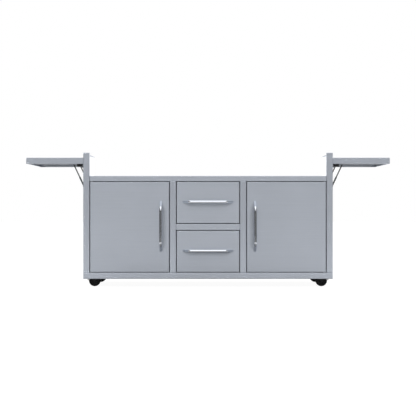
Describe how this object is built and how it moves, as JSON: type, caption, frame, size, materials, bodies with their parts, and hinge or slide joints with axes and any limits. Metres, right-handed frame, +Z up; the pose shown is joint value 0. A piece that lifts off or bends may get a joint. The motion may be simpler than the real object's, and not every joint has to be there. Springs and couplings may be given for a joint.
{
  "type": "grill cart",
  "caption": "Stainless cabinet cart for a drop-in grill: hinged doors, drawers between them, folding side shelves on braced brackets, bow handles and swivel casters.",
  "frame": {"origin": "on the floor under the middle of the whole cart, handles included", "axes": "+X to the right as seen from the front, +Z up; doors and drawers face -Y"},
  "size_m": [2.338, 0.66, 0.863],
  "materials": {
    "cabinet_steel": "brushed",
    "front_steel": "brushed",
    "shelf_steel": "brushed",
    "inner_steel": "brushed",
    "polished_steel": "polished",
    "black_steel": "satin",
    "arm_steel": "plated",
    "plated_steel": "plated",
    "slide_steel": "plated",
    "hardware_steel": "plated",
    "caster_steel": "satin",
    "caster_tyre": "matt",
    "black_plastic": "matt",
    "catch_plastic": "matt"
  },
  "bodies": {
    "cabinet": {"left_front_post": "cabinet_steel", "right_front_post": "cabinet_steel", "top_front_rail": "cabinet_steel", "bottom_front_rail": "cabinet_steel", "left_divider_stile": "cabinet_steel", "right_divider_stile": "cabinet_steel", "drawer_rail": "cabinet_steel", "left_side_panel": "cabinet_steel", "right_side_panel": "cabinet_steel", "left_partition": "inner_steel", "right_partition": "inner_steel", "floor_pan": "inner_steel", "back_panel": "cabinet_steel", "top_deck": "cabinet_steel", "caster_top_plates": "hardware_steel", "caster_bolts": "hardware_steel", "door_pivot_pins": "hardware_steel", "door_catches": "catch_plastic", "drawer_slide_outers": "slide_steel", "shelf_wall_brackets": "black_steel", "shelf_bracket_pins": "hardware_steel", "bracket_screws": "hardware_steel"},
    "left_door": {"left_door_skin": "front_steel", "left_door_liner": "inner_steel", "left_door_handle": "polished_steel"},
    "right_door": {"right_door_skin": "front_steel", "right_door_liner": "inner_steel", "right_door_handle": "polished_steel"},
    "upper_drawer": {"upper_drawer_front": "front_steel", "upper_drawer_box": "inner_steel", "upper_drawer_handle": "polished_steel", "upper_slide_inners": "slide_steel"},
    "upper_slides": {"upper_slide_middles": "slide_steel"},
    "lower_drawer": {"lower_drawer_front": "front_steel", "lower_drawer_box": "inner_steel", "lower_drawer_handle": "polished_steel", "lower_slide_inners": "slide_steel"},
    "lower_slides": {"lower_slide_middles": "slide_steel"},
    "left_shelf": {"left_shelf_tray": "shelf_steel", "left_shelf_arms": "arm_steel"},
    "left_front_brace": {"left_front_strut": "plated_steel"},
    "left_rear_brace": {"left_rear_strut": "plated_steel"},
    "right_shelf": {"right_shelf_tray": "shelf_steel", "right_shelf_arms": "arm_steel"},
    "right_front_brace": {"right_front_strut": "plated_steel"},
    "right_rear_brace": {"right_rear_strut": "plated_steel"},
    "front_left_caster": {"front_left_fork": "caster_steel"},
    "front_left_wheel": {"front_left_tyre": "caster_tyre", "front_left_hub": "black_plastic"},
    "front_left_pedal": {"front_left_brake_pedal": "black_plastic"},
    "front_right_caster": {"front_right_fork": "caster_steel"},
    "front_right_wheel": {"front_right_tyre": "caster_tyre", "front_right_hub": "black_plastic"},
    "front_right_pedal": {"front_right_brake_pedal": "black_plastic"},
    "rear_left_caster": {"rear_left_fork": "caster_steel"},
    "rear_left_wheel": {"rear_left_tyre": "caster_tyre", "rear_left_hub": "black_plastic"},
    "rear_right_caster": {"rear_right_fork": "caster_steel"},
    "rear_right_wheel": {"rear_right_tyre": "caster_tyre", "rear_right_hub": "black_plastic"}
  },
  "joints": [
    {"name": "left_door_hinge", "type": "hinge", "parent": "cabinet", "child": "left_door", "pos_m": [-0.746, -0.262, 0.386], "axis": [0, 0, -1], "range_deg": [0, 110]},
    {"name": "right_door_hinge", "type": "hinge", "parent": "cabinet", "child": "right_door", "pos_m": [0.746, -0.262, 0.386], "axis": [0, 0, 1], "range_deg": [0, 110]},
    {"name": "upper_drawer_slide", "type": "slide", "parent": "cabinet", "child": "upper_drawer", "axis": [0, -1, 0], "range_m": [0, 0.45]},
    {"name": "upper_slides_slide", "type": "slide", "parent": "cabinet", "child": "upper_slides", "axis": [0, -1, 0], "range_m": [0, 0.225]},
    {"name": "lower_drawer_slide", "type": "slide", "parent": "cabinet", "child": "lower_drawer", "axis": [0, -1, 0], "range_m": [0, 0.45]},
    {"name": "lower_slides_slide", "type": "slide", "parent": "cabinet", "child": "lower_slides", "axis": [0, -1, 0], "range_m": [0, 0.225]},
    {"name": "left_shelf_hinge", "type": "hinge", "parent": "cabinet", "child": "left_shelf", "pos_m": [-0.812, 0.03, 0.787], "axis": [0, -1, 0], "range_deg": [0, 90]},
    {"name": "left_front_brace_pivot", "type": "hinge", "parent": "cabinet", "child": "left_front_brace", "pos_m": [-0.807, -0.162, 0.65], "axis": [0, -1, 0], "range_deg": [0, 148.6]},
    {"name": "left_rear_brace_pivot", "type": "hinge", "parent": "cabinet", "child": "left_rear_brace", "pos_m": [-0.807, 0.222, 0.65], "axis": [0, -1, 0], "range_deg": [0, 148.6]},
    {"name": "right_shelf_hinge", "type": "hinge", "parent": "cabinet", "child": "right_shelf", "pos_m": [0.812, 0.03, 0.787], "axis": [0, 1, 0], "range_deg": [0, 90]},
    {"name": "right_front_brace_pivot", "type": "hinge", "parent": "cabinet", "child": "right_front_brace", "pos_m": [0.807, -0.162, 0.65], "axis": [0, 1, 0], "range_deg": [0, 148.6]},
    {"name": "right_rear_brace_pivot", "type": "hinge", "parent": "cabinet", "child": "right_rear_brace", "pos_m": [0.807, 0.222, 0.65], "axis": [0, 1, 0], "range_deg": [0, 148.6]},
    {"name": "front_left_swivel", "type": "hinge", "parent": "cabinet", "child": "front_left_caster", "pos_m": [-0.708, -0.17, 0.083], "axis": [0, 0, 1], "continuous": true},
    {"name": "front_left_roll", "type": "hinge", "parent": "front_left_caster", "child": "front_left_wheel", "pos_m": [-0.736, -0.17, 0.0375], "axis": [0, 1, 0], "continuous": true},
    {"name": "front_left_pedal_pivot", "type": "hinge", "parent": "front_left_caster", "child": "front_left_pedal", "pos_m": [-0.76396, -0.17, 0.07082], "axis": [0, -1, 0], "range_deg": [0, 9]},
    {"name": "front_right_swivel", "type": "hinge", "parent": "cabinet", "child": "front_right_caster", "pos_m": [0.708, -0.17, 0.083], "axis": [0, 0, 1], "continuous": true},
    {"name": "front_right_roll", "type": "hinge", "parent": "front_right_caster", "child": "front_right_wheel", "pos_m": [0.736, -0.17, 0.0375], "axis": [0, 1, 0], "continuous": true},
    {"name": "front_right_pedal_pivot", "type": "hinge", "parent": "front_right_caster", "child": "front_right_pedal", "pos_m": [0.76396, -0.17, 0.07082], "axis": [0, 1, 0], "range_deg": [0, 9]},
    {"name": "rear_left_swivel", "type": "hinge", "parent": "cabinet", "child": "rear_left_caster", "pos_m": [-0.708, 0.23, 0.083], "axis": [0, 0, 1], "continuous": true},
    {"name": "rear_left_roll", "type": "hinge", "parent": "rear_left_caster", "child": "rear_left_wheel", "pos_m": [-0.736, 0.23, 0.0375], "axis": [0, 1, 0], "continuous": true},
    {"name": "rear_right_swivel", "type": "hinge", "parent": "cabinet", "child": "rear_right_caster", "pos_m": [0.708, 0.23, 0.083], "axis": [0, 0, 1], "continuous": true},
    {"name": "rear_right_roll", "type": "hinge", "parent": "rear_right_caster", "child": "rear_right_wheel", "pos_m": [0.736, 0.23, 0.0375], "axis": [0, 1, 0], "continuous": true}
  ],
  "couplings": [
    {"joint": "upper_slides_slide", "follows": "upper_drawer_slide", "ratio": 0.5},
    {"joint": "lower_slides_slide", "follows": "lower_drawer_slide", "ratio": 0.5},
    {"joint": "left_front_brace_pivot", "follows": "left_shelf_hinge", "ratio": 1.6494},
    {"joint": "left_rear_brace_pivot", "follows": "left_shelf_hinge", "ratio": 1.6494},
    {"joint": "right_front_brace_pivot", "follows": "right_shelf_hinge", "ratio": 1.6494},
    {"joint": "right_rear_brace_pivot", "follows": "right_shelf_hinge", "ratio": 1.6494}
  ]
}
